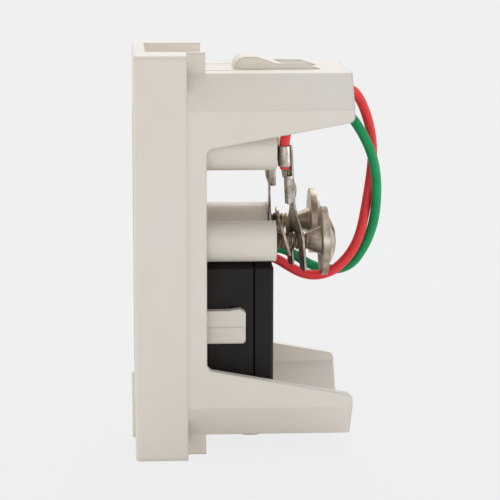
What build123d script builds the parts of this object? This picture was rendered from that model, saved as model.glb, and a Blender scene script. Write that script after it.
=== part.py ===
"""Snap-in telephone socket: a moulded module with a modular jack, two screw terminals and two short leads.

Millimetres. X is the width, +Y runs from the front to the back and +Z is up. The origin is the middle of
the seat, the plane where the collar stops against the front of the mounting frame.
"""

import math
import os

from build123d import *

os.makedirs("parts", exist_ok=True)

# Front tray and the collar behind it
module_width = 22.5
module_height = 45.0
tray_depth = 5.8
collar_depth = 2.1
wall = 1.4
front_plate = 1.5
tray_corner = 0.7
front_round = 0.35
collar_inset = 3.25
collar_rise = 2.25
notch_wall = 1.3

# Eight-sided sleeve and its snap arms
side_step = 0.15
bevel_drop = 3.75
sleeve_wall = 1.2
arm_length = 16.1
window_margin = 4.3
tip_margin = 1.34
window_round = 0.8
arm_round = 0.7

# Snap tooth on each arm, with the two ribs that run on behind it
frame_thickness = 3.4
tooth_width = 6.4
tooth_height = 1.4
tooth_crest = 1.1
tooth_rise = 1.4
tooth_ramp = 4.1
tooth_corner = 1.1
rib_width = 0.8
rib_height = 0.65
rib_top = 3.2
rib_run_out = 1.8
groove_pitch = 8.8
groove_width = 0.5
groove_depth = 0.4

# Front face: shallow field above the jack and a low lip below it
field_inset = 2.25
field_margin = 7.0
field_gap = 0.85
field_depth = 0.2
lip_width = 15.0
lip_height = 4.4
lip_margin = 1.7
lip_rise = 0.3
face_round = 1.0

# Screw posts: two rows of two
post_diameter = 4.5
post_inset = 4.2
post_row_spacing = 10.2
post_clearance = 0.1
post_overhang = 0.2
post_bore = 2.1
post_bore_depth = 9.0

# Jack, its nose in the front plate and its plug opening
jack_width = 14.5
jack_height = 14.6
jack_middle = -8.1
jack_length = 11.7
jack_bevel = 0.8
nose_side = 1.05
nose_end = 1.1
nose_clearance = 0.15
nose_recess = 0.3
plug_width = 9.7
plug_height = 6.8
plug_rise = 0.5
plug_depth = 11.4
plug_mouth = 0.4
tab_width = 6.2
tab_height = 1.3
key_width = 3.3
key_height = 1.2
cap_length = 2.1
cap_groove = 0.2
cap_groove_depth = 0.9
cap_edge = 0.5
cap_step = 0.18
cap_step_drop = 0.75
notch_clearance = 0.12

# Latch arms that hold the jack
latch_thickness = 1.2
latch_height = 3.75
latch_rise = 0.2
latch_setback = 0.9
latch_clearance = 0.12
latch_round = 0.4
latch_step = 0.25
barb_length = 1.6
barb_height = 0.45
barb_end = 0.5
thumb_length = 1.5
thumb_height = 0.2
pocket_clearance = 0.15

# Contacts in the plug opening
contact_width = 0.5
contact_thickness = 0.3
contact_pitch = 1.02
contact_front = 2.4
contact_drop = 2.0
contact_reach = 5.4
contact_gap = 0.05
contact_bend = 0.55
contact_radius = 0.5

# Terminal screws and their washers
shank_diameter = 2.0
screw_turned_out = 5.0
screw_grip = 6.2
neck_diameter = 3.2
neck_taper = 1.5
head_diameter = 5.4
head_height = 1.0
head_rim = 0.2
drive_width = 0.75
drive_length = 3.2
drive_depth = 0.6
drive_turn_angle = 50.0
captive_diameter = 7.6
captive_thickness = 0.7
washer_clearance = 0.05
loose_diameter = 4.2
loose_bore = 3.0
loose_thickness = 0.3
right_washer_gap = 1.0
right_washer_angle = 17.0
left_washer_gap = 1.35
left_washer_angle = 4.0

# Fork terminals
sheet = 0.25
blade_width = 5.8
slot_width = 2.2
prong_length = 3.0
prong_round = 0.5
neck_width = 1.3
neck_start = 2.0
neck_length = 4.3
neck_shoulder = 4.2
wire_crimp_length = 3.15
wire_crimp_lobe = 0.38
wire_crimp_depth = 0.9
crimp_gap = 0.95
insulation_crimp_length = 2.4
crimp_seam = 0.3
crimp_clearance = 0.02
right_fork_gap = 2.15
right_fork_turn_angle = 195.0
right_fork_lean_angle = -1.0
right_fork_bend_angle = -4.0
left_fork_gap = 0.3
left_fork_turn_angle = -2.0
left_fork_lean_angle = 0.0
left_fork_bend_angle = 0.0

# Leads: where each leaves the jack body, as its place across, its straight run and its height from the top
# of the jack, and the places where it turns, from the back of the cap and the top of the jack
lead_diameter = 1.12
lead_entry_run = 1.7
bend_share = 0.45
red_exit = (1.3, 2.85, -0.47)
green_exit = (-3.4, 4.2, -0.47)
red_points = [
    (1.45, 4.3, -2.8),
    (1.5, 7.6, -2.1),
    (1.1, 9.75, 1),
    (0.35, 11.25, 5.3),
    (-0.5, 12, 12),
    (0.6, 10.1, 17.7),
    (2.9, 7.6, 19),
    (5, 4.6, 19),
    (6.6, 2.2, 17.4),
]
green_points = [
    (-2.6, 5.6, -2.65),
    (-1.6, 9.3, -2.4),
    (-0.4, 11.5, 0.5),
    (1, 12.25, 4.4),
    (2.2, 11.9, 10.4),
    (1.5, 9.8, 15),
    (-0.9, 7.2, 17.4),
    (-3.9, 4.5, 18.5),
    (-6.2, 2.3, 17),
]

# Widths and heights that follow from these
collar_width = module_width - 2 * collar_inset
body_height = module_height - 2 * collar_rise
side_width = module_width - 2 * side_step
side_height = body_height - 2 * bevel_drop
nose_width = jack_width - 2 * nose_side
nose_height = jack_height - 2 * nose_end
jack_top = jack_middle + jack_height / 2
plug_middle = jack_middle + plug_rise
latch_middle = jack_middle + latch_rise
latch_length = jack_length - latch_setback
post_x = module_width / 2 - post_inset
post_length = jack_length + cap_groove + cap_length + post_overhang
lower_post_z = jack_top + post_clearance + post_diameter / 2
upper_post_z = lower_post_z + post_row_spacing

# Depths along Y that the pieces share
front = -(tray_depth + collar_depth)
plate_back = front + front_plate
tray_back = -collar_depth
post_end = plate_back + post_length
jack_back = plate_back + jack_length
cap_front = jack_back + cap_groove
cap_back = cap_front + cap_length
latch_end = plate_back + latch_length
captive_front = post_end + screw_turned_out
head_seat = captive_front + captive_thickness
tooth_front = frame_thickness
plug_ceiling = plug_middle + plug_height / 2
plug_floor = plug_middle - plug_height / 2
plug_end = front + nose_recess + plug_depth


def across(depth):
    """Plane across the module at a depth: its sketch X runs along +X and its sketch Y along +Z."""
    return Plane.XZ.offset(-depth)


def sleeve_section(depth, inset):
    """Eight-sided section of the sleeve at a depth, drawn this far inside the outer faces."""
    corner = (collar_width / 2, body_height / 2)
    shoulder = (side_width / 2, side_height / 2)
    with BuildSketch(across(depth)) as section:
        with BuildLine():
            upper = Polyline((0, corner[1]), corner, shoulder, (shoulder[0], 0))
            right = [upper, mirror(upper, about=Plane.XZ)]
            mirror(right, about=Plane.YZ)
        make_face()
        if inset:
            offset(amount=-inset)
    return section.sketch


# Housing: one moulding with the tray, the sleeve, the snap arms, the posts and the latch arms
with BuildPart() as housing:
    # Tray, open at the back
    with BuildSketch(across(front)):
        Rectangle(module_width, module_height)
    extrude(amount=-tray_depth)
    fillet(housing.edges().filter_by(Axis.Y), tray_corner)
    fillet(housing.faces().sort_by(Axis.Y)[0].edges(), front_round)
    with BuildSketch(across(tray_back)):
        Rectangle(module_width - 2 * wall, module_height - 2 * wall)
    extrude(amount=tray_depth - front_plate, mode=Mode.SUBTRACT)

    # Sleeve and the collar blocks that stop against the frame
    extrude(sleeve_section(plate_back, 0), amount=-(arm_length - plate_back))
    with BuildSketch(across(plate_back)):
        Rectangle(collar_width, module_height)
    extrude(amount=plate_back)
    extrude(sleeve_section(plate_back, sleeve_wall), amount=-(arm_length - plate_back), mode=Mode.SUBTRACT)

    # Notch behind the front wall, above and below, between the collar blocks
    notch_height = (module_height - body_height) / 2
    with BuildSketch(across(front + wall)):
        with Locations((0, module_height / 2), (0, -module_height / 2)):
            Rectangle(collar_width - 2 * notch_wall, 2 * notch_height)
    extrude(amount=front + wall, mode=Mode.SUBTRACT)

    # Windows in the two sides, which leave the snap arms above and below
    with BuildSketch(Plane.YZ) as window:
        window_root = side_height / 2 - window_margin
        window_mouth = side_height / 2 - tip_margin
        with BuildLine():
            Polyline(
                (0, -window_root),
                (0, window_root),
                (arm_length, window_mouth),
                (arm_length, -window_mouth),
                close=True,
            )
        make_face()
        fillet(window.vertices().group_by(Axis.X)[0], window_round)
    extrude(amount=module_width, both=True, mode=Mode.SUBTRACT)
    tip_edges = housing.edges().filter_by(Axis.X).group_by(Axis.Y)[-1]
    fillet(tip_edges.filter_by(lambda edge: abs(edge.center().Z) < side_height / 2), arm_round)

    # Snap tooth, run-out ribs and relief grooves on each arm
    crest_start = tooth_front + tooth_rise
    crest_end = crest_start + tooth_crest
    rib_start = crest_end + tooth_ramp * (1 - rib_height / tooth_height)
    for side in (1, -1):
        base = side * (body_height / 2)
        crest = side * (body_height / 2 + tooth_height)
        rib_crest = side * (body_height / 2 + rib_height)
        root = side * (body_height / 2 - sleeve_wall / 2)
        with BuildPart(mode=Mode.PRIVATE) as tooth:
            with BuildSketch(Plane.YZ):
                with BuildLine():
                    Line((tooth_front, root), (tooth_front, base))
                    ThreePointArc(
                        (tooth_front, base),
                        (crest_start - tooth_rise * math.sqrt(0.5), base + (crest - base) * math.sqrt(0.5)),
                        (crest_start, crest),
                    )
                    Polyline(
                        (crest_start, crest),
                        (crest_end, crest),
                        (crest_end + tooth_ramp, base),
                        (crest_end + tooth_ramp, root),
                        (tooth_front, root),
                    )
                make_face()
            extrude(amount=tooth_width / 2, both=True)
            with BuildSketch(Plane.XY) as plan:
                with Locations((0, tooth_front)):
                    Rectangle(tooth_width, arm_length - tooth_front, align=(Align.CENTER, Align.MIN))
                fillet(plan.vertices().group_by(Axis.Y)[0], tooth_corner)
            extrude(amount=side * module_height, mode=Mode.INTERSECT)
        add(tooth.part)
        rib_x = (tooth_width - rib_width) / 2
        for place in (rib_x, -rib_x):
            with BuildSketch(Plane.YZ.offset(place)):
                with BuildLine():
                    Polyline(
                        (crest_end, root),
                        (crest_end, base),
                        (rib_start, rib_crest),
                        (rib_start + rib_top, rib_crest),
                        (rib_start + rib_top + rib_run_out, base),
                        (rib_start + rib_top + rib_run_out, root),
                        close=True,
                    )
                make_face()
            extrude(amount=rib_width / 2, both=True)
        with BuildSketch(Plane.XY.offset(base)):
            with Locations((groove_pitch / 2, 0), (-groove_pitch / 2, 0)):
                Rectangle(groove_width, tooth_front, align=(Align.CENTER, Align.MIN))
        extrude(amount=-side * groove_depth, mode=Mode.SUBTRACT)

    # Front face: field, lip and the opening for the nose of the jack
    with BuildSketch(across(front)):
        field_bottom = jack_middle + nose_height / 2 + nose_clearance + field_gap
        with Locations((0, field_bottom)):
            RectangleRounded(
                module_width - 2 * field_inset,
                module_height / 2 - field_margin - field_bottom,
                face_round,
                align=(Align.CENTER, Align.MIN),
            )
    extrude(amount=-field_depth, mode=Mode.SUBTRACT)
    with BuildSketch(across(front)):
        with Locations((0, lip_margin - module_height / 2)):
            RectangleRounded(lip_width, lip_height, face_round, align=(Align.CENTER, Align.MIN))
    extrude(amount=lip_rise)
    with BuildSketch(across(front)):
        with Locations((0, jack_middle)):
            Rectangle(nose_width + 2 * nose_clearance, nose_height + 2 * nose_clearance)
    extrude(amount=-front_plate, mode=Mode.SUBTRACT)

    # Posts with blind bores
    post_middle = (lower_post_z + upper_post_z) / 2
    with BuildSketch(across(plate_back)):
        with Locations((0, post_middle)):
            with GridLocations(2 * post_x, post_row_spacing, 2, 2):
                Circle(post_diameter / 2)
    extrude(amount=-post_length)
    with BuildSketch(across(post_end)):
        with Locations((0, post_middle)):
            with GridLocations(2 * post_x, post_row_spacing, 2, 2):
                Circle(post_bore / 2)
    extrude(amount=post_bore_depth, mode=Mode.SUBTRACT)

    # Latch arms: a stepped outer face, a thumb ramp on top and a barb that turns in behind the jack's ledge
    latch_inner = jack_width / 2 + latch_clearance
    latch_top = latch_middle + latch_height / 2
    latch_bottom = latch_middle - latch_height / 2
    barb_back = latch_end - barb_end
    for side in (1, -1):
        with BuildSketch(Plane.YZ.offset(side * latch_inner)) as latch_face:
            with BuildLine():
                Polyline(
                    (plate_back, latch_bottom),
                    (latch_end, latch_bottom),
                    (latch_end, latch_top),
                    (barb_back, latch_top),
                    (barb_back, latch_top + thumb_height),
                    (barb_back - thumb_length, latch_top),
                    (plate_back, latch_top),
                    close=True,
                )
            make_face()
            fillet(latch_face.vertices().group_by(Axis.X)[-1], latch_round)
        extrude(amount=side * latch_thickness)
        with BuildSketch(Plane.YZ.offset(side * (latch_inner + latch_thickness))):
            with Locations((plate_back, latch_bottom)):
                Rectangle(latch_length, latch_height / 2, align=(Align.MIN, Align.MIN))
        extrude(amount=-side * latch_step, mode=Mode.SUBTRACT)
        with BuildSketch(Plane.XY.offset(latch_bottom)):
            with BuildLine():
                Polyline(
                    (side * latch_inner, barb_back - barb_length),
                    (side * (latch_inner - barb_height), barb_back - barb_length),
                    (side * latch_inner, barb_back),
                    close=True,
                )
            make_face()
        extrude(amount=latch_height)
housing.part.label = "housing"
export_step(housing.part, "parts/housing.step")


# Jack body: a solid moulding with its plug opening, and a pocket in each side for the latch barb
with BuildPart() as jack_body:
    with BuildSketch(across(plate_back)):
        with Locations((0, jack_middle)):
            Rectangle(jack_width, jack_height)
    extrude(amount=-jack_length)
    top_edges = jack_body.edges().filter_by(Axis.Y).group_by(Axis.Z)[-1]
    chamfer(top_edges, jack_bevel)
    with BuildSketch(across(plate_back)):
        with Locations((0, jack_middle)):
            Rectangle(nose_width, nose_height)
    extrude(amount=front_plate - nose_recess)
    with BuildSketch(across(front + nose_recess)):
        with Locations((0, plug_middle)):
            Rectangle(plug_width, plug_height)
        with Locations((0, plug_floor)):
            Rectangle(tab_width, tab_height, align=(Align.CENTER, Align.MAX))
        with Locations((0, plug_floor - tab_height)):
            Rectangle(key_width, key_height, align=(Align.CENTER, Align.MAX))
    extrude(amount=-plug_depth, mode=Mode.SUBTRACT)
    mouth_face = jack_body.faces().sort_by(Axis.Y)[0]
    chamfer(mouth_face.inner_wires()[0].edges(), plug_mouth)
    barb_front = latch_end - barb_end - barb_length
    for side in (1, -1):
        with BuildSketch(Plane.YZ.offset(side * (jack_width / 2 - barb_height))):
            with Locations((barb_front - pocket_clearance, latch_middle)):
                Rectangle(
                    barb_length + 2 * pocket_clearance,
                    latch_height + 2 * pocket_clearance,
                    align=(Align.MIN, Align.CENTER),
                )
        extrude(amount=side * barb_height, mode=Mode.SUBTRACT)
jack_body.part.label = "jack_body"
export_step(jack_body.part, "parts/jack_body.step")


# Jack cap: closes the back of the jack and leaves a groove around the joint
with BuildPart() as jack_cap:
    with BuildSketch(across(cap_front)):
        with Locations((0, jack_middle)):
            Rectangle(jack_width, jack_height)
    extrude(amount=-cap_length)
    chamfer(jack_cap.edges().filter_by(Axis.Y).group_by(Axis.Z)[-1], jack_bevel)
    cap_rim = jack_cap.faces().sort_by(Axis.Y)[-1].edges().sort_by(Axis.Z)[:-3]
    fillet(cap_rim.filter_by(Axis.Z), cap_edge)
    with BuildSketch(across(jack_back)):
        with Locations((0, jack_middle)):
            Rectangle(jack_width - 2 * cap_groove_depth, jack_height - 2 * cap_groove_depth)
    extrude(amount=-cap_groove)

    # Step along the top of the back, and the open notch that each lead runs out through
    with BuildSketch(Plane.YZ):
        with BuildLine():
            Polyline(
                (cap_back - cap_step, jack_top),
                (cap_back, jack_top),
                (cap_back, jack_top - cap_step_drop),
                (cap_back - cap_step, jack_top - cap_step_drop + cap_step),
                close=True,
            )
        make_face()
    extrude(amount=jack_width, both=True, mode=Mode.SUBTRACT)
    notch_radius = lead_diameter / 2 + notch_clearance
    with BuildSketch(across(jack_back)):
        for place, run, height in (red_exit, green_exit):
            with Locations((place, jack_top + height)):
                Circle(notch_radius)
                Rectangle(2 * notch_radius, notch_radius - height, align=(Align.CENTER, Align.MIN))
    extrude(amount=-(cap_groove + cap_length), mode=Mode.SUBTRACT)
jack_cap.part.label = "jack_cap"
export_step(jack_cap.part, "parts/jack_cap.step")


# Contacts: flat sprung strips along the ceiling of the plug opening, round a bend and back down into it
def contact(name, x):
    ceiling = plug_ceiling - contact_gap - contact_thickness / 2
    nose = front + nose_recess + contact_front
    with BuildPart() as strip:
        with BuildLine(Plane.YZ.offset(x)) as route:
            FilletPolyline(
                (plug_end, ceiling),
                (nose, ceiling),
                (nose, ceiling - 2 * contact_bend),
                (nose + contact_reach, ceiling - contact_drop),
                radius=contact_radius,
            )
        with BuildSketch(Plane(origin=route.line @ 0, x_dir=(1, 0, 0), z_dir=route.line % 0)):
            Rectangle(contact_width, contact_thickness)
        sweep(path=route.line)
    strip.part.label = name
    export_step(strip.part, f"parts/{name}.step")


contact("contact_right", contact_pitch / 2)
contact("contact_left", -contact_pitch / 2)


# Terminal screws: a domed head with a cross slot, and a conical neck that keeps the washer under the head
def terminal_screw(name, x):
    dome_height = head_height - head_rim
    dome_radius = ((head_diameter / 2) ** 2 + dome_height ** 2) / (2 * dome_height)
    with BuildPart() as screw:
        with BuildSketch(Plane((x, 0, lower_post_z), x_dir=(0, 1, 0), z_dir=(1, 0, 0))):
            with BuildLine():
                Polyline(
                    (head_seat + head_height, 0),
                    (post_end - screw_grip, 0),
                    (post_end - screw_grip, shank_diameter / 2),
                    (captive_front - neck_taper, shank_diameter / 2),
                    (captive_front, neck_diameter / 2),
                    (captive_front, shank_diameter / 2),
                    (head_seat, shank_diameter / 2),
                    (head_seat, head_diameter / 2),
                    (head_seat + head_rim, head_diameter / 2),
                )
                RadiusArc(
                    (head_seat + head_rim, head_diameter / 2),
                    (head_seat + head_height, 0),
                    dome_radius,
                )
            make_face()
        revolve(axis=Axis((x, 0, lower_post_z), (0, 1, 0)))
        with BuildSketch(across(head_seat + head_height)):
            with Locations((x, lower_post_z)):
                Rectangle(head_diameter, drive_width, rotation=drive_turn_angle)
                Rectangle(drive_width, drive_length, rotation=drive_turn_angle)
        extrude(amount=drive_depth, mode=Mode.SUBTRACT)
    screw.part.label = name
    export_step(screw.part, f"parts/{name}.step")


def captive_washer(name, x):
    with BuildPart() as washer:
        with BuildSketch(across(captive_front)):
            with Locations((x, lower_post_z)):
                Circle(captive_diameter / 2)
                Circle(shank_diameter / 2 + washer_clearance, mode=Mode.SUBTRACT)
        extrude(amount=-captive_thickness)
    washer.part.label = name
    export_step(washer.part, f"parts/{name}.step")


# Loose washers: each is tipped a little on its shank, one pushed up against it and the other hanging on it
def loose_washer(name, x, depth, lean, rest):
    angle = math.radians(lean)
    slack = (loose_bore * math.cos(angle) - loose_thickness * math.sin(angle) - shank_diameter) / 2
    middle = (x, depth, lower_post_z + rest * (slack - washer_clearance))
    facing = (0, -math.cos(angle), -math.sin(angle))
    with BuildPart() as washer:
        with BuildSketch(Plane(origin=middle, x_dir=(1, 0, 0), z_dir=facing)):
            Circle(loose_diameter / 2)
            Circle(loose_bore / 2, mode=Mode.SUBTRACT)
        extrude(amount=loose_thickness / 2, both=True)
    washer.part.label = name
    export_step(washer.part, f"parts/{name}.step")


terminal_screw("terminal_screw_right", post_x)
terminal_screw("terminal_screw_left", -post_x)
captive_washer("captive_washer_right", post_x)
captive_washer("captive_washer_left", -post_x)
loose_washer("loose_washer_right", post_x, post_end + right_washer_gap, right_washer_angle, 1)
loose_washer("loose_washer_left", -post_x, post_end + left_washer_gap, left_washer_angle, -1)


# Fork terminals: a stamped fork, bent a little at the neck, with one crimp for the bare wire and one for the
# insulation. Heights along the crimps are from the bend
crimp_bore = lead_diameter / 2 + crimp_clearance
crimp_radius = crimp_bore + sheet
crimp_offset = crimp_radius - sheet / 2
insulation_start = wire_crimp_length + crimp_gap
insulation_end = insulation_start + insulation_crimp_length


def blade_plane(x, depth, turn, lean):
    """Plane of a hanging fork: turned about the vertical, with its top leaning the way it faces."""
    hang = slot_width / 2 - shank_diameter / 2 - washer_clearance
    turn, lean = math.radians(turn), math.radians(lean)
    facing = Vector(math.sin(turn), -math.cos(turn), 0) * math.cos(lean) + Vector(0, 0, -math.sin(lean))
    return Plane((x, depth, lower_post_z - hang), x_dir=(math.cos(turn), math.sin(turn), 0), z_dir=facing)


def crimp_plane(blade, bend):
    """Plane of the strip that carries the crimps, bent from the blade at the end of its neck."""
    neck_end = blade.from_local_coords((0, neck_length, 0))
    facing = blade.z_dir.rotate(Axis(neck_end, blade.x_dir), bend)
    return Plane(neck_end, x_dir=blade.x_dir, z_dir=facing)


def fork_terminal(name, blade, strip):
    def level(height):
        origin = strip.from_local_coords((0, height, -crimp_offset))
        return Plane(origin=origin, x_dir=strip.x_dir, z_dir=strip.y_dir)

    with BuildPart() as terminal:
        with BuildSketch(blade) as outline:
            Circle(blade_width / 2)
            Rectangle(blade_width, prong_length, align=(Align.CENTER, Align.MAX))
            with BuildLine():
                Polyline(
                    (-neck_shoulder / 2, neck_start),
                    (neck_shoulder / 2, neck_start),
                    (neck_width / 2, neck_length),
                    (-neck_width / 2, neck_length),
                    close=True,
                )
            make_face()
            Circle(slot_width / 2, mode=Mode.SUBTRACT)
            Rectangle(slot_width, prong_length, align=(Align.CENTER, Align.MAX), mode=Mode.SUBTRACT)
            fillet(outline.vertices().group_by(Axis.Y)[0], prong_round)
        extrude(amount=sheet / 2, both=True)
        with BuildSketch(strip):
            Rectangle(neck_width, insulation_end, align=(Align.CENTER, Align.MIN))
        extrude(amount=sheet / 2, both=True)
        with BuildSketch(level(0)):
            lobe_x = neck_width / 2 - wire_crimp_lobe
            lobe_y = wire_crimp_depth - crimp_radius - wire_crimp_lobe
            with Locations((lobe_x, lobe_y), (-lobe_x, lobe_y)):
                Circle(wire_crimp_lobe)
            with Locations((0, -crimp_radius)):
                Rectangle(neck_width, wire_crimp_depth - wire_crimp_lobe, align=(Align.CENTER, Align.MIN))
        extrude(amount=wire_crimp_length)
        with BuildSketch(level(insulation_start)):
            Circle(crimp_radius)
            Circle(crimp_bore, mode=Mode.SUBTRACT)
            Rectangle(crimp_seam, crimp_radius, align=(Align.CENTER, Align.MIN), mode=Mode.SUBTRACT)
        extrude(amount=insulation_crimp_length)
    terminal.part.label = name
    export_step(terminal.part, f"parts/{name}.step")


right_blade = blade_plane(post_x, post_end + right_fork_gap, right_fork_turn_angle, right_fork_lean_angle)
left_blade = blade_plane(-post_x, post_end + left_fork_gap, left_fork_turn_angle, left_fork_lean_angle)
right_strip = crimp_plane(right_blade, right_fork_bend_angle)
left_strip = crimp_plane(left_blade, left_fork_bend_angle)
fork_terminal("fork_terminal_right", right_blade, right_strip)
fork_terminal("fork_terminal_left", left_blade, left_strip)


# Leads: round wires from the back of the jack body, out through the notches in its cap, to the fork
# terminals, where each ends against the wire crimp
def lead(name, exit_place, points, strip):
    place, run, height = exit_place
    entry = strip.from_local_coords((0, insulation_end + lead_entry_run, -crimp_offset))
    end = strip.from_local_coords((0, wire_crimp_length, -crimp_offset))
    start = Vector(place, jack_back, jack_top + height)
    turns = [Vector(x, cap_back + y, jack_top + z) for x, y, z in points]
    corners = [start, start + (0, run, 0), *turns, entry, end]
    radii = []
    for before, here, after in zip(corners, corners[1:], corners[2:]):
        shorter = min((here - before).length, (after - here).length)
        half_turn = math.radians((here - before).get_angle(after - here) / 2)
        radii.append(bend_share * shorter / math.tan(half_turn))
    with BuildPart() as wire:
        with BuildLine():
            route = FilletPolyline(*corners, radius=radii)
        with BuildSketch(Plane(origin=route @ 0, z_dir=route % 0)):
            Circle(lead_diameter / 2)
        sweep(path=route)
    wire.part.label = name
    export_step(wire.part, f"parts/{name}.step")
    section = math.pi * lead_diameter ** 2 / 4
    print(name, "length", round(route.length, 2), "radii", [round(radius, 1) for radius in radii])
    print(name, "volume over section times length", round(wire.part.volume / (section * route.length), 5))


lead("lead_red", red_exit, red_points, right_strip)
lead("lead_green", green_exit, green_points, left_strip)
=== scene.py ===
import math

import bmesh
import bpy
from mathutils import Matrix, Vector


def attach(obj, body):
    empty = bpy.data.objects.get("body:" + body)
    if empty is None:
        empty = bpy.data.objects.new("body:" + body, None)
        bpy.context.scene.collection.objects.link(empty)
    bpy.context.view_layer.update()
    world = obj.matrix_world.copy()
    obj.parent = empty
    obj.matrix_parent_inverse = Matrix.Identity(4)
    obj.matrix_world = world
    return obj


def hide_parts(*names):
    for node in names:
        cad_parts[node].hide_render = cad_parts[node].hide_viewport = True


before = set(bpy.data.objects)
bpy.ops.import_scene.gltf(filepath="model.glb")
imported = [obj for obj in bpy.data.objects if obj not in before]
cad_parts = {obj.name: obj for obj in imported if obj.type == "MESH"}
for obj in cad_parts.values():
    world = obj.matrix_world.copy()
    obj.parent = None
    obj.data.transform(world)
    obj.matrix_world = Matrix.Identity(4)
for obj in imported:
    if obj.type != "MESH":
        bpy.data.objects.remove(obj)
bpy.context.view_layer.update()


# Housing: one ivory moulding in a hard satin plastic, with the tray, the sleeve, the snap arms, the posts
# and the latch arms all in one shot. Its skin is almost smooth, the mould rounds its edges softly, and the
# colour drifts very slightly where the plastic flowed.
def feed(tree, socket, value):
    """Links an output socket to an input, or writes a plain value into it."""
    if isinstance(value, bpy.types.NodeSocket):
        tree.links.new(value, socket)
    else:
        socket.default_value = value


def place(tree, kind, **sockets):
    """Adds a node to a tree and feeds its named sockets."""
    made = tree.nodes.new(kind)
    for name, value in sockets.items():
        feed(tree, made.inputs[name.replace("_", " ")], value)
    return made


def new_material(name):
    """Gives a material, its tree, its shader and the place on the piece."""
    material = bpy.data.materials.new(name)
    material.use_nodes = True
    tree = material.node_tree
    where = tree.nodes.new("ShaderNodeTexCoord").outputs["Object"]
    return material, tree, tree.nodes["Principled BSDF"], where


def new_skin(name, scales, masks):
    """Opens a shader group that reads a place and some scales and puts out masks."""
    group = bpy.data.node_groups.new(name, "ShaderNodeTree")
    group.interface.new_socket("Vector", in_out="INPUT", socket_type="NodeSocketVector")
    for label in scales:
        group.interface.new_socket(label, in_out="INPUT", socket_type="NodeSocketFloat")
    for label in masks:
        group.interface.new_socket(label, in_out="OUTPUT", socket_type="NodeSocketFloat")
    return group, group.nodes.new("NodeGroupInput").outputs


def wear(tree, group, where, **scales):
    """Puts a skin into a material at that material's own scales, and gives its masks."""
    skin = tree.nodes.new("ShaderNodeGroup")
    skin.node_tree = group
    feed(tree, skin.inputs["Vector"], where)
    for name, scale in scales.items():
        feed(tree, skin.inputs[name.replace("_", " ")], scale)
    return skin.outputs


def two_tone(tree, mask, low, dark, high, light):
    """Colour that runs from dark to light as the mask rises from low to high."""
    ramp = place(tree, "ShaderNodeValToRGB", Fac=mask)
    for stop, position, colour in zip(ramp.color_ramp.elements, (low, high), (dark, light)):
        stop.position = position
        stop.color = (*colour, 1.0)
    return ramp.outputs["Color"]


def satin(tree, shader, mask, at_low, at_high):
    """Roughness that runs between two values with the mask."""
    polish = place(tree, "ShaderNodeMapRange", Value=mask, To_Min=at_low, To_Max=at_high)
    feed(tree, shader.inputs["Roughness"], polish.outputs["Result"])


edge_samples = 6


def soft_relief(tree, shader, height, strength, depth, edge_radius):
    """Fine relief over edges that look rounded."""
    soft_edge = place(tree, "ShaderNodeBevel", Radius=edge_radius)
    soft_edge.samples = edge_samples
    relief = place(tree, "ShaderNodeBump", Height=height, Strength=strength, Distance=depth,
                   Normal=soft_edge.outputs["Normal"])
    feed(tree, shader.inputs["Normal"], relief.outputs["Normal"])


def dress(material, *names):
    for name in names:
        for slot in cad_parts[name].material_slots:
            slot.material = material


moulded_skin, given = new_skin("moulded skin", ("Drift Scale", "Grain Scale"), ("Drift", "Grain"))
flow = place(moulded_skin, "ShaderNodeTexNoise", Vector=given["Vector"], Scale=given["Drift Scale"],
             Detail=3.0, Roughness=0.55)
peel = place(moulded_skin, "ShaderNodeTexNoise", Vector=given["Vector"], Scale=given["Grain Scale"],
             Detail=2.0, Roughness=0.6)
place(moulded_skin, "NodeGroupOutput", Drift=flow.outputs["Fac"], Grain=peel.outputs["Fac"])

ivory_deep, ivory_pale = (0.885, 0.818, 0.722), (0.915, 0.856, 0.770)
ivory, tree, shader, where = new_material("ivory moulding")
masks = wear(tree, moulded_skin, where, Drift_Scale=90.0, Grain_Scale=4200.0)
feed(tree, shader.inputs["Base Color"], two_tone(tree, masks["Drift"], 0.3, ivory_deep, 0.7, ivory_pale))
satin(tree, shader, masks["Grain"], at_low=0.34, at_high=0.46)
soft_relief(tree, shader, masks["Grain"], strength=0.12, depth=0.00002, edge_radius=0.00034)
dress(ivory, "housing")


# Jack body and rear cap: two black mouldings that clip together, with a narrow groove around the joint. The
# plastic is a harder, finer-grained grade than the housing's and has a dull satin face.
black_deep, black_pale = (0.0105, 0.007, 0.007), (0.0175, 0.0125, 0.0125)
black, tree, shader, where = new_material("black jack plastic")
masks = wear(tree, moulded_skin, where, Drift_Scale=160.0, Grain_Scale=6500.0)
feed(tree, shader.inputs["Base Color"], two_tone(tree, masks["Drift"], 0.3, black_deep, 0.7, black_pale))
satin(tree, shader, masks["Grain"], at_low=0.38, at_high=0.54)
shader.inputs["Specular IOR Level"].default_value = 0.22
soft_relief(tree, shader, masks["Grain"], strength=0.2, depth=0.00002, edge_radius=0.00018)
dress(black, "jack_body", "jack_cap")


# Contacts: two sprung strips of phosphor bronze, laid along the ceiling of the plug opening, round a bend and
# back down into it. They are plated with bright gold, a little dulled where the plug rubs.
gold_rubbed, gold_bright = (0.62, 0.42, 0.16), (0.86, 0.66, 0.30)
gilt, tree, shader, where = new_material("gilt contact")
rub = place(tree, "ShaderNodeTexNoise", Vector=where, Scale=1500.0, Detail=4.0, Roughness=0.6).outputs["Fac"]
feed(tree, shader.inputs["Base Color"], two_tone(tree, rub, 0.0, gold_rubbed, 1.0, gold_bright))
shader.inputs["Metallic"].default_value = 1.0
satin(tree, shader, rub, at_low=0.18, at_high=0.36)
dress(gilt, "contact_right", "contact_left")


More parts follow.
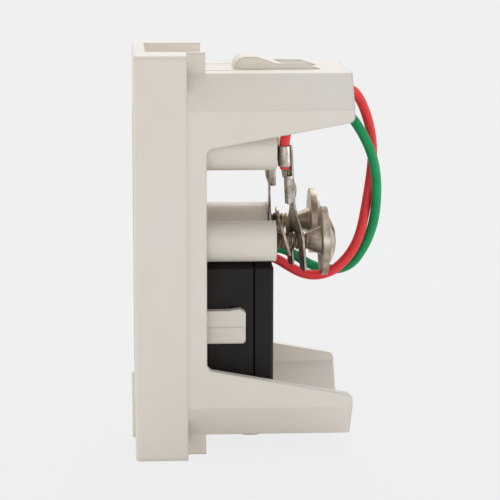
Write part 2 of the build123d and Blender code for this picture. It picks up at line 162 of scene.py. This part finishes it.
# Terminal screws: two dome-headed machine screws in nickel-plated steel, turned part of the way out of the
# lower posts. Each has a slot crossed by a shorter one, a tapered neck under the head and a rolled thread.
plated_skin, given = new_skin("plated skin", ("Stain Scale",), ("Stain", "Ripple"))
stain = place(plated_skin, "ShaderNodeTexNoise", Vector=given["Vector"], Scale=given["Stain Scale"],
              Detail=5.0, Roughness=0.62)
ripple = place(plated_skin, "ShaderNodeTexNoise", Vector=given["Vector"], Scale=2600.0, Detail=3.0)
place(plated_skin, "NodeGroupOutput", Stain=stain.outputs["Fac"], Ripple=ripple.outputs["Fac"])

# Dark brown for oxide and painted shade, laid wherever nearby geometry, the piece's own or a neighbour's,
# hems a point in.
oxide_and_painted_shade_colour, oxide_and_painted_shade_reach, oxide_and_painted_shade_samples = (0.23, 0.168, 0.115, 1.0), 0.0016, 8


def plated(name, stain_scale, dark, light, smooth, rough):
    """Dull plating: brownish stain in patches, dark oxide mixed with painted shade in corners and between
    parts, and a faint ripple from the press.
    """
    material, tree, shader, where = new_material(name)
    masks = wear(tree, plated_skin, where, Stain_Scale=stain_scale)
    # Painted shade with oxide: the base colour darkens towards that brown where ambient occlusion finds
    # corners, creases and neighbouring parts close by.
    crevice_occlusion = place(tree, "ShaderNodeAmbientOcclusion", Distance=oxide_and_painted_shade_reach)
    crevice_occlusion.samples = oxide_and_painted_shade_samples
    unshaded_share = place(tree, "ShaderNodeMapRange", Value=crevice_occlusion.outputs["AO"], From_Min=0.25, From_Max=0.8)
    tone = place(tree, "ShaderNodeMix", Factor=unshaded_share.outputs["Result"])
    tone.data_type = "RGBA"
    feed(tree, tone.inputs["A"], oxide_and_painted_shade_colour)
    feed(tree, tone.inputs["B"], two_tone(tree, masks["Stain"], 0.34, dark, 0.66, light))
    feed(tree, shader.inputs["Base Color"], tone.outputs["Result"])
    shader.inputs["Metallic"].default_value = 1.0
    satin(tree, shader, masks["Stain"], at_low=rough, at_high=smooth)
    soft_relief(tree, shader, masks["Ripple"], strength=0.35, depth=0.00004, edge_radius=0.00008)
    return material


def reckon(tree, operation, *values):
    """Maths node fed with sockets or numbers."""
    node = tree.nodes.new("ShaderNodeMath")
    node.operation = operation
    for socket, value in zip(node.inputs, values):
        feed(tree, socket, value)
    return node.outputs[0]


def open_tree(name, inputs):
    """Opens a geometry tree with named inputs, and gives it with their sockets and identifiers."""
    tree = bpy.data.node_groups.new(name, "GeometryNodeTree")
    tree.interface.new_socket("Geometry", in_out="INPUT", socket_type="NodeSocketGeometry")
    keys = []
    for label, kind, value in inputs:
        keys.append(tree.interface.new_socket(label, in_out="INPUT", socket_type=kind).identifier)
    tree.interface.new_socket("Geometry", in_out="OUTPUT", socket_type="NodeSocketGeometry")
    return tree, tree.nodes.new("NodeGroupInput").outputs, keys


def close_tree(tree, copies, material):
    """Makes the copies real, gives them their material and puts them out."""
    solid = place(tree, "GeometryNodeRealizeInstances", Geometry=copies)
    coated = place(tree, "GeometryNodeSetMaterial", Geometry=solid.outputs["Geometry"], Material=material)
    place(tree, "NodeGroupOutput", Geometry=coated.outputs["Geometry"])


def run_tree(holder, tree, keys, inputs):
    """Sets the inputs on a modifier and turns what the tree makes into a plain mesh."""
    maker = holder.modifiers.new(tree.name, "NODES")
    maker.node_group = tree
    for key, (label, kind, value) in zip(keys, inputs):
        maker[key] = value
    bpy.context.view_layer.update()
    made = holder.evaluated_get(bpy.context.evaluated_depsgraph_get())
    mesh = bpy.data.meshes.new_from_object(made)
    bpy.data.objects.remove(holder)
    mesh.shade_smooth()
    return mesh


def new_mesh(name, shape):
    mesh = bpy.data.meshes.new(name)
    shape.to_mesh(mesh)
    shape.free()
    return mesh


def new_object(name, data):
    made = bpy.data.objects.new(name, data)
    bpy.context.collection.objects.link(made)
    return made


screw_nickel = plated("screw nickel", stain_scale=900.0, dark=(0.34, 0.265, 0.19),
                      light=(0.68, 0.605, 0.51), smooth=0.3, rough=0.44)

head_radius, head_height, head_rim, rim_chamfer = 0.0027, 0.001, 0.0002, 0.0001
dome_steps, head_steps, head_crease = 12, 64, 38
dome_rise = head_height - head_rim
dome_radius = (head_radius ** 2 + dome_rise ** 2) / (2 * dome_rise)
dome_reach = math.asin(head_radius / dome_radius)
profile = [(0.0, 0.0), (head_radius - rim_chamfer, 0.0), (head_radius, rim_chamfer)]
for step in range(dome_steps + 1):
    turn = dome_reach * (1 - step / dome_steps)
    profile.append((dome_radius * math.sin(turn), head_height - dome_radius * (1 - math.cos(turn))))
shape = bmesh.new()
rim = [shape.verts.new((radius, depth, 0.0)) for radius, depth in profile]
edges = [shape.edges.new(pair) for pair in zip(rim, rim[1:])]
bmesh.ops.spin(shape, geom=rim + edges, cent=(0, 0, 0), axis=(0, 1, 0), angle=2 * math.pi, steps=head_steps)
bmesh.ops.remove_doubles(shape, verts=shape.verts[:], dist=1e-7)
bmesh.ops.recalc_face_normals(shape, faces=shape.faces[:])
screw_head = new_object("screw_head", new_mesh("screw head", shape))

slot_width, slot_cut, long_slot, short_slot = 0.00075, 0.0012, 0.0062, 0.0032
head_top = Matrix.Translation((0, head_height, 0))
shape = bmesh.new()
for size in ((long_slot, slot_cut, slot_width), (slot_width, slot_cut, short_slot)):
    bmesh.ops.create_cube(shape, size=1.0, matrix=head_top @ Matrix.Diagonal((*size, 1)))
cutter = new_object("slot_cutter", new_mesh("slot cutter", shape))
cut = screw_head.modifiers.new("drive slots", "BOOLEAN")
cut.operation = "DIFFERENCE"
cut.solver = "EXACT"
cut.use_self = True
cut.object = cutter

turn_points, ridge_corners, core_sides, neck_sides, neck_rings = 28, 4, 32, 40, 3
screw_inputs = (
    ("Core Radius", "NodeSocketFloat", 0.00082),
    ("Thread Depth", "NodeSocketFloat", 0.00018),
    ("Pitch", "NodeSocketFloat", 0.00045),
    ("Shank Length", "NodeSocketFloat", 0.0118),
    ("Neck Radius", "NodeSocketFloat", 0.0016),
    ("Neck Length", "NodeSocketFloat", 0.0017),
    ("Neck Place", "NodeSocketVector", (0.0, 0.0, 0.0007)),
    ("First Post", "NodeSocketVector", (-0.00705, 0.0135, 0.00155)),
    ("Spacing", "NodeSocketFloat", 0.0141),
    ("First Turn", "NodeSocketFloat", 0.28),
    ("Turn Between", "NodeSocketFloat", -1.15),
    ("Material", "NodeSocketMaterial", screw_nickel),
)
thread_tree, given, keys = open_tree("screw pair", screw_inputs)
turns = reckon(thread_tree, "DIVIDE", given["Shank Length"], given["Pitch"])
helix = place(thread_tree, "GeometryNodeCurveSpiral", Resolution=turn_points, Rotations=turns,
              Start_Radius=given["Core Radius"], End_Radius=given["Core Radius"],
              Height=given["Shank Length"])
upright = place(thread_tree, "GeometryNodeSetCurveNormal", Curve=helix.outputs["Curve"])
upright.mode = "Z_UP"
ridge = place(thread_tree, "GeometryNodeCurvePrimitiveCircle", Resolution=ridge_corners,
              Radius=given["Thread Depth"])
thread = place(thread_tree, "GeometryNodeCurveToMesh", Curve=upright.outputs["Curve"],
               Profile_Curve=ridge.outputs["Curve"], Fill_Caps=True)
core = place(thread_tree, "GeometryNodeMeshCylinder", Vertices=core_sides, Radius=given["Core Radius"],
             Depth=given["Shank Length"])
half_shank = reckon(thread_tree, "MULTIPLY", given["Shank Length"], 0.5)
lift = place(thread_tree, "ShaderNodeCombineXYZ", Z=half_shank)
core_up = place(thread_tree, "GeometryNodeTransform", Geometry=core.outputs["Mesh"],
                Translation=lift.outputs["Vector"])
cone = place(thread_tree, "GeometryNodeMeshCone", Vertices=neck_sides, Side_Segments=neck_rings,
             Radius_Bottom=given["Neck Radius"], Radius_Top=given["Core Radius"], Depth=given["Neck Length"])
neck = place(thread_tree, "GeometryNodeTransform", Geometry=cone.outputs["Mesh"],
             Translation=given["Neck Place"])
shank = thread_tree.nodes.new("GeometryNodeJoinGeometry")
for part in (thread.outputs["Mesh"], core_up.outputs["Geometry"], neck.outputs["Geometry"]):
    feed(thread_tree, shank.inputs["Geometry"], part)
laid = place(thread_tree, "GeometryNodeTransform", Geometry=shank.outputs["Geometry"],
             Rotation=(math.radians(90), 0.0, 0.0))
whole = thread_tree.nodes.new("GeometryNodeJoinGeometry")
for part in (given["Geometry"], laid.outputs["Geometry"]):
    feed(thread_tree, whole.inputs["Geometry"], part)
stride = place(thread_tree, "ShaderNodeCombineXYZ", X=given["Spacing"])
pair = place(thread_tree, "GeometryNodeMeshLine", Count=2, Start_Location=given["First Post"],
             Offset=stride.outputs["Vector"])
number = thread_tree.nodes.new("GeometryNodeInputIndex").outputs["Index"]
angle = reckon(thread_tree, "MULTIPLY_ADD", number, given["Turn Between"], given["First Turn"])
spin = place(thread_tree, "ShaderNodeCombineXYZ", Y=angle)
screws = place(thread_tree, "GeometryNodeInstanceOnPoints", Points=pair.outputs["Mesh"],
               Instance=whole.outputs["Geometry"], Rotation=spin.outputs["Vector"])
close_tree(thread_tree, screws.outputs["Instances"], given["Material"])

screw_mesh = run_tree(screw_head, thread_tree, keys, screw_inputs)
bpy.data.objects.remove(cutter)
screw_mesh.set_sharp_from_angle(angle=math.radians(head_crease))
terminal_screws = new_object("terminal_screws", screw_mesh)
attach(terminal_screws, "root")
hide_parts("terminal_screw_right", "terminal_screw_left")


# Washers: a thick one held under each head and a thin one loose on each shank, all punched from steel strip.
# Their nickel plating is a shade duller than the screws' and is stained in larger patches.
washer_nickel = plated("washer nickel", stain_scale=750.0, dark=(0.27, 0.21, 0.15),
                       light=(0.55, 0.485, 0.40), smooth=0.34, rough=0.48)
dress(washer_nickel, "captive_washer_right", "captive_washer_left", "loose_washer_right", "loose_washer_left")


# Fork terminals: stamped from thin tinned sheet and hung on the screws, here in millimetres and degrees.
# Their wings are rolled round the lead to make one crimp on the bare strands and one on the insulation, and
# the press leaves the wire crimp bulged and its two wings tucked in side by side.
fork_tin = plated("fork tin", stain_scale=900.0, dark=(0.23, 0.19, 0.15), light=(0.61, 0.57, 0.505),
                  smooth=0.26, rough=0.44)
millimetre, sheet, stamped_edge, fork_crease = 0.001, 0.25, 0.06, 50
blade_reach, slot_reach, prong_length, prong_round = 2.9, 1.1, 3.0, 0.5
shoulder_angle, shoulder_points = 43.6, [(1.35, 2.95), (0.86, 3.75)]
neck_half, neck_length, neck_overlap = 0.65, 4.3, 0.1
wire_crimp_heights = (0.0, 0.08, 0.4, 1.0, 1.7, 2.4, 2.85, 3.07, 3.15)
wire_crimp_sizes = (0.93, 1.02, 0.99, 1.0, 1.0, 0.98, 0.99, 1.06, 0.97)
wire_crimp_bulges = (0.0, 0.0, 0.06, 0.17, 0.2, 0.1, 0.02, 0.02, 0.0)
wire_crimp_middle, back_rise = 0.33, 0.425
wing_apart, wing_depth, wing_radius, wing_curl, seam_depth = 0.3, 0.4, 0.36, 150, 0.44
insulation_crimp_start, insulation_crimp_end, crimp_depth = 4.1, 6.5, 0.705
crimp_outside, crimp_inside, crimp_half_gap, crimp_slant = 0.77, 0.58, 78, 0.06
crimp_shares = (0.0, 0.02, 0.06, 0.3, 0.6, 0.94, 0.98, 1.0)
crimp_insets = (0.06, 0.02, 0.0, 0.0, 0.0, 0.0, 0.02, 0.06)
corner_steps, blade_steps, slot_steps, back_steps, wing_steps, tube_steps = 4, 10, 16, 14, 10, 36


def arc(centre, radius, start, stop, steps):
    turns = [math.radians(start + (stop - start) * step / steps) for step in range(steps + 1)]
    return [(centre[0] + radius * math.cos(turn), centre[1] + radius * math.sin(turn)) for turn in turns]


def blank(shape, outline, matrix):
    """Flat blank of the sheet, its stamped edges a little rounded."""
    below = shape.faces.new([shape.verts.new((x, y, -sheet / 2)) for x, y in outline])
    grown = bmesh.ops.extrude_face_region(shape, geom=[below], use_keep_orig=True)["geom"]
    above = [part for part in grown if isinstance(part, bmesh.types.BMVert)]
    lid = next(part for part in grown if isinstance(part, bmesh.types.BMFace))
    bmesh.ops.translate(shape, verts=above, vec=(0, 0, sheet))
    rims = list(below.edges) + list(lid.edges)
    soft = bmesh.ops.bevel(shape, geom=rims, offset=stamped_edge, segments=2, profile=0.5, affect="EDGES")
    verts = {vert for face in soft["faces"] for vert in face.verts}
    bmesh.ops.transform(shape, verts=list(verts), matrix=matrix)


def rolled(shape, rings, matrix):
    """Skin through rings of equal count, closed at both ends."""
    rows = [[shape.verts.new(matrix @ Vector(point)) for point in ring] for ring in rings]
    for row, after in zip(rows, rows[1:]):
        for here in range(len(row)):
            beside = (here + 1) % len(row)
            shape.faces.new((row[here], row[beside], after[beside], after[here]))
    shape.faces.new(rows[0])
    shape.faces.new(rows[-1])


def wire_crimp(height, size, bulge):
    """Outline of the wire crimp at one height: the bulged back and the two wings tucked in."""
    ring = []
    for x, y in arc((0, 0), neck_half, 0, 180, back_steps):
        ring.append((x, sheet / 2 + bulge - back_rise + y * (back_rise + bulge) / neck_half))
    ring += arc((-wing_apart, -wing_depth), wing_radius, 180, 180 + wing_curl, wing_steps)
    ring += [(0.0, -seam_depth)]
    ring += arc((wing_apart, -wing_depth), wing_radius, 360 - wing_curl, 360, wing_steps)
    return [(x * size, height, -wire_crimp_middle + (z + wire_crimp_middle) * size) for x, z in ring]


def insulation_crimp(share, inset):
    """Outline of the insulation crimp at a share of its height: an open tube with a slanted lower end."""
    ring = []
    start, stop = -crimp_half_gap, 180 + crimp_half_gap
    for radius, begin, end in ((crimp_outside - inset, start, stop), (crimp_inside + inset, stop, start)):
        for x, z in arc((0, 0), radius, begin, end, tube_steps):
            low = insulation_crimp_start + crimp_slant * (1 - z / radius)
            ring.append((x, low + (insulation_crimp_end - low) * share, z - crimp_depth))
    return ring


def fork(name, node, centre, turn, lean, bend):
    blade = Matrix.Scale(millimetre, 4) @ Matrix.Translation(centre)
    blade = blade @ Matrix.Rotation(math.radians(turn), 4, "Z")
    blade = blade @ Matrix.Rotation(math.radians(90 + lean), 4, "X")
    strip = blade @ Matrix.Translation((0, neck_length, 0)) @ Matrix.Rotation(math.radians(bend), 4, "X")
    shape = bmesh.new()
    prong_end = prong_round - prong_length
    half = arc((slot_reach + prong_round, prong_end), prong_round, 180, 270, corner_steps)
    half += arc((blade_reach - prong_round, prong_end), prong_round, 270, 360, corner_steps)
    half += arc((0, 0), blade_reach, 0, shoulder_angle, blade_steps)
    half += shoulder_points + [(neck_half, neck_length + neck_overlap)]
    slot = arc((0, 0), slot_reach, 180, 0, slot_steps)
    blank(shape, half + [(-x, y) for x, y in reversed(half)] + slot, blade)
    blank(shape, [(-neck_half, 0), (neck_half, 0), (neck_half, insulation_crimp_end),
                  (-neck_half, insulation_crimp_end)], strip)
    wire_rings = zip(wire_crimp_heights, wire_crimp_sizes, wire_crimp_bulges)
    rolled(shape, [wire_crimp(*ring) for ring in wire_rings], strip)
    rolled(shape, [insulation_crimp(*ring) for ring in zip(crimp_shares, crimp_insets)], strip)
    bmesh.ops.recalc_face_normals(shape, faces=shape.faces[:])
    mesh = new_mesh(name, shape)
    mesh.materials.append(fork_tin)
    mesh.shade_smooth()
    mesh.set_sharp_from_angle(angle=math.radians(fork_crease))
    piece = new_object(name, mesh)
    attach(piece, "root")
    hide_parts(node)


fork("red_fork", "fork_terminal_right", (7.05, 10.0, 1.5), turn=195, lean=-4.75, bend=1.75)
fork("green_fork", "fork_terminal_left", (-7.05, 8.1, 1.5), turn=-2, lean=0, bend=0)


# Leads: two thin stranded wires in soft coloured insulation, their routes in millimetres. Each leaves the
# back of the jack, loops up behind the screws and under the upper arm, and comes down into its fork terminal.
lead_diameter = 0.00112


def insulation(name, dark, light):
    """Drawn plastic skin with a soft sheen and faint scuffs."""
    material, tree, shader, where = new_material(name)
    masks = wear(tree, moulded_skin, where, Drift_Scale=420.0, Grain_Scale=5200.0)
    feed(tree, shader.inputs["Base Color"], two_tone(tree, masks["Drift"], 0.3, dark, 0.72, light))
    satin(tree, shader, masks["Grain"], at_low=0.36, at_high=0.5)
    shader.inputs["Specular IOR Level"].default_value = 0.38
    relief = place(tree, "ShaderNodeBump", Height=masks["Grain"], Strength=0.15, Distance=0.00003)
    feed(tree, shader.inputs["Normal"], relief.outputs["Normal"])
    return material


def lead(name, node, route, material):
    curve = bpy.data.curves.new(name, "CURVE")
    curve.dimensions = "3D"
    spline = curve.splines.new("NURBS")
    spline.points.add(len(route) - 1)
    for point, (x, y, z) in zip(spline.points, route):
        point.co = (x / 1000, y / 1000, z / 1000, 1.0)
    spline.order_u = 3
    spline.use_endpoint_u = True
    spline.resolution_u = 12
    curve.bevel_depth = lead_diameter / 2
    curve.bevel_resolution = 6
    curve.use_fill_caps = True
    curve.materials.append(material)
    piece = new_object(name, curve)
    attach(piece, "root")
    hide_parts(node)


red_plastic = insulation("red insulation", (0.90, 0.038, 0.042), (0.97, 0.050, 0.055))
red_route = [
    (1.3, 5.3, -1.27), (1.3, 6.25, -1.12), (1.3, 7.45, -1.12), (1.34, 8.6, -1.61), (1.38, 9.6, -2.27),
    (1.45, 11.3, -3.24), (1.5, 13.15, -3.46), (1.5, 15.24, -2.75), (1.15, 17.68, 0.12), (0.4, 18.74, 4.7),
    (-0.5, 19.71, 11.5), (0.6, 17.75, 17.36), (2.9, 15.25, 18.45), (5.0, 12.3, 18.25), (6.3, 10.4, 17.1),
    (7.0, 9.4, 15.0), (7.41, 8.7, 12.9), (7.389, 8.732, 10.6), (7.378, 8.777, 9.67),
]
lead("red_lead", "lead_red", red_route, red_plastic)
green_plastic = insulation("green insulation", (0.002, 0.30, 0.094), (0.004, 0.40, 0.134))
green_route = [
    (-3.4, 5.3, -1.27), (-3.4, 7.7, -1.22), (-3.35, 9.6, -1.0), (-2.6, 13.23, -3.48), (-1.6, 16.88, -3.3),
    (-0.5, 18.83, -0.27), (0.95, 19.8, 3.7), (2.2, 19.56, 9.6), (1.5, 17.4, 14.17), (-0.9, 14.8, 16.6),
    (-3.9, 12.1, 17.7), (-6.2, 9.9, 16.2), (-7.025, 8.805, 14.0), (-7.025, 8.805, 9.75),
]
lead("green_lead", "lead_green", green_route, green_plastic)


# Bare strands: the fine tinned copper wires of each lead, stripped of their insulation for the last
# millimetre and twisted together where they pass from the insulation crimp into the wire crimp.
strand_tin = plated("strand tin", stain_scale=2600.0, dark=(0.14, 0.10, 0.075), light=(0.46, 0.38, 0.31),
                    smooth=0.24, rough=0.42)
red_end, red_way = Vector((0.007379, 0.008772, 0.009772)), Vector((-0.013546, 0.050553, -0.99863))
green_end, green_way = Vector((-0.007025, 0.008805, 0.00985)), Vector((0.0, 0.0, -1.0))
winding_points, strand_sides = 24, 10
strand_inputs = (
    ("Strands", "NodeSocketInt", 7),
    ("Strand Radius", "NodeSocketFloat", 0.00011),
    ("Loose Radius", "NodeSocketFloat", 0.00034),
    ("Tight Radius", "NodeSocketFloat", 0.0002),
    ("Length", "NodeSocketFloat", 0.00105),
    ("Twist", "NodeSocketFloat", 0.3),
    ("First Place", "NodeSocketVector", red_end),
    ("Step", "NodeSocketVector", green_end - red_end),
    ("First Turn", "NodeSocketVector", red_way.to_track_quat("Z", "Y").to_euler()),
    ("Second Turn", "NodeSocketVector", green_way.to_track_quat("Z", "Y").to_euler()),
    ("Material", "NodeSocketMaterial", strand_tin),
)
strand_tree, given, keys = open_tree("strand bundle", strand_inputs)
winding = place(strand_tree, "GeometryNodeCurveSpiral", Resolution=winding_points, Rotations=given["Twist"],
                Start_Radius=given["Loose Radius"], End_Radius=given["Tight Radius"], Height=given["Length"])
wire = place(strand_tree, "GeometryNodeCurvePrimitiveCircle", Resolution=strand_sides,
             Radius=given["Strand Radius"])
strand = place(strand_tree, "GeometryNodeCurveToMesh", Curve=winding.outputs["Curve"],
               Profile_Curve=wire.outputs["Curve"], Fill_Caps=True)
ring = place(strand_tree, "GeometryNodeMeshLine", Count=given["Strands"], Offset=(0.0, 0.0, 0.0))
number = strand_tree.nodes.new("GeometryNodeInputIndex").outputs["Index"]
share = reckon(strand_tree, "DIVIDE", number, given["Strands"])
step_round = place(strand_tree, "ShaderNodeCombineXYZ", Z=reckon(strand_tree, "MULTIPLY", share, 2 * math.pi))
bundle = place(strand_tree, "GeometryNodeInstanceOnPoints", Points=ring.outputs["Mesh"],
               Instance=strand.outputs["Mesh"], Rotation=step_round.outputs["Vector"])
ends = place(strand_tree, "GeometryNodeMeshLine", Count=2, Start_Location=given["First Place"],
             Offset=given["Step"])
turn = strand_tree.nodes.new("ShaderNodeMix")
turn.data_type = "VECTOR"
feed(strand_tree, turn.inputs["Factor"], number)
feed(strand_tree, turn.inputs["A"], given["First Turn"])
feed(strand_tree, turn.inputs["B"], given["Second Turn"])
both = place(strand_tree, "GeometryNodeInstanceOnPoints", Points=ends.outputs["Mesh"],
             Instance=bundle.outputs["Instances"], Rotation=turn.outputs["Result"])
close_tree(strand_tree, both.outputs["Instances"], given["Material"])

strand_maker = new_object("strand_maker", bpy.data.meshes.new("strand maker"))
bare_strands = new_object("bare_strands", run_tree(strand_maker, strand_tree, keys, strand_inputs))
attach(bare_strands, "root")


# Studio: a plain pale floor under the socket, a soft lamp above its far side for the bright upper faces, one
# at each end for the curved pieces and one above the camera for the near side. The camera looks almost
# square at the side.
backdrop, paper_white, daylight = (0.871, 0.871, 0.879, 1.0), (0.92, 0.92, 0.925, 1.0), (0.985, 0.99, 1.0)
floor_height, floor_reach, fill_strength = -0.0226, 3.0, 0.39
shade_start, shade_end, shade_share = 0.04, 0.2, 0.93


def looked_at(tree):
    """One where a surface is seen directly, mirrored or through something clear; nought where it lights."""
    path = tree.nodes.new("ShaderNodeLightPath").outputs
    seen = reckon(tree, "MAXIMUM", path["Is Camera Ray"], path["Is Glossy Ray"])
    return reckon(tree, "MAXIMUM", seen, path["Is Transmission Ray"])


shape = bmesh.new()
bmesh.ops.create_grid(shape, x_segments=1, y_segments=1, size=floor_reach,
                      matrix=Matrix.Translation((0, 0, floor_height)))
floor_mesh = new_mesh("floor", shape)
paper, tree, shader, where = new_material("pale paper")
tree.nodes.remove(shader)
glow = place(tree, "ShaderNodeEmission", Color=backdrop, Strength=1.0)
matt = place(tree, "ShaderNodeBsdfDiffuse", Color=paper_white)
reach = place(tree, "ShaderNodeVectorMath")
reach.operation = "LENGTH"
feed(tree, reach.inputs[0], where)
share = place(tree, "ShaderNodeMapRange", Value=reach.outputs["Value"], From_Min=shade_start,
              From_Max=shade_end, To_Min=shade_share, To_Max=1.0)
share.interpolation_type = "SMOOTHSTEP"
seen = reckon(tree, "MULTIPLY", looked_at(tree), share.outputs["Result"])
blend = place(tree, "ShaderNodeMixShader", Fac=seen)
feed(tree, blend.inputs[1], matt.outputs["BSDF"])
feed(tree, blend.inputs[2], glow.outputs["Emission"])
feed(tree, tree.nodes["Material Output"].inputs["Surface"], blend.outputs["Shader"])
floor_mesh.materials.append(paper)
floor = new_object("floor", floor_mesh)

world = bpy.data.worlds.new("studio")
world.use_nodes = True
bpy.context.scene.world = world
tree = world.node_tree
fill = tree.nodes["Background"]
fill.inputs["Color"].default_value = (*daylight, 1.0)
fill.inputs["Strength"].default_value = fill_strength
pale = place(tree, "ShaderNodeBackground", Color=backdrop, Strength=1.0)
choose = place(tree, "ShaderNodeMixShader", Fac=looked_at(tree))
feed(tree, choose.inputs[1], fill.outputs["Background"])
feed(tree, choose.inputs[2], pale.outputs["Background"])
feed(tree, tree.nodes["World Output"].inputs["Surface"], choose.outputs["Shader"])


def soft_lamp(name, stand, width, height, power):
    """Oval area lamp that faces the socket."""
    lamp = bpy.data.lights.new(name, "AREA")
    lamp.shape = "ELLIPSE"
    lamp.size = width
    lamp.size_y = height
    lamp.energy = power
    lamp.color = daylight
    holder = new_object(name, lamp)
    holder.location = stand
    holder.rotation_euler = (-Vector(stand)).to_track_quat("-Z", "Y").to_euler()


soft_lamp("far lamp", (-0.22, 0.04, 0.36), width=0.42, height=0.42, power=1.15)
soft_lamp("front lamp", (0.14, -0.45, 0.04), width=0.3, height=0.14, power=0.46)
soft_lamp("back lamp", (0.14, 0.45, 0.04), width=0.3, height=0.14, power=0.46)
soft_lamp("near lamp", (0.5, -0.01, 0.08), width=0.5, height=0.16, power=0.26)

camera_data = bpy.data.cameras.new("camera")
camera_data.sensor_width = 36.0
camera_data.lens = 147.42
camera_data.clip_start = 0.01
camera = new_object("camera", camera_data)
camera.location = (0.230491, -0.008983, 0.039643)
camera.rotation_euler = (math.radians(80.0936), math.radians(-0.0621), math.radians(86.4413))
bpy.context.scene.camera = camera
bpy.context.scene.view_settings.view_transform = "Standard"
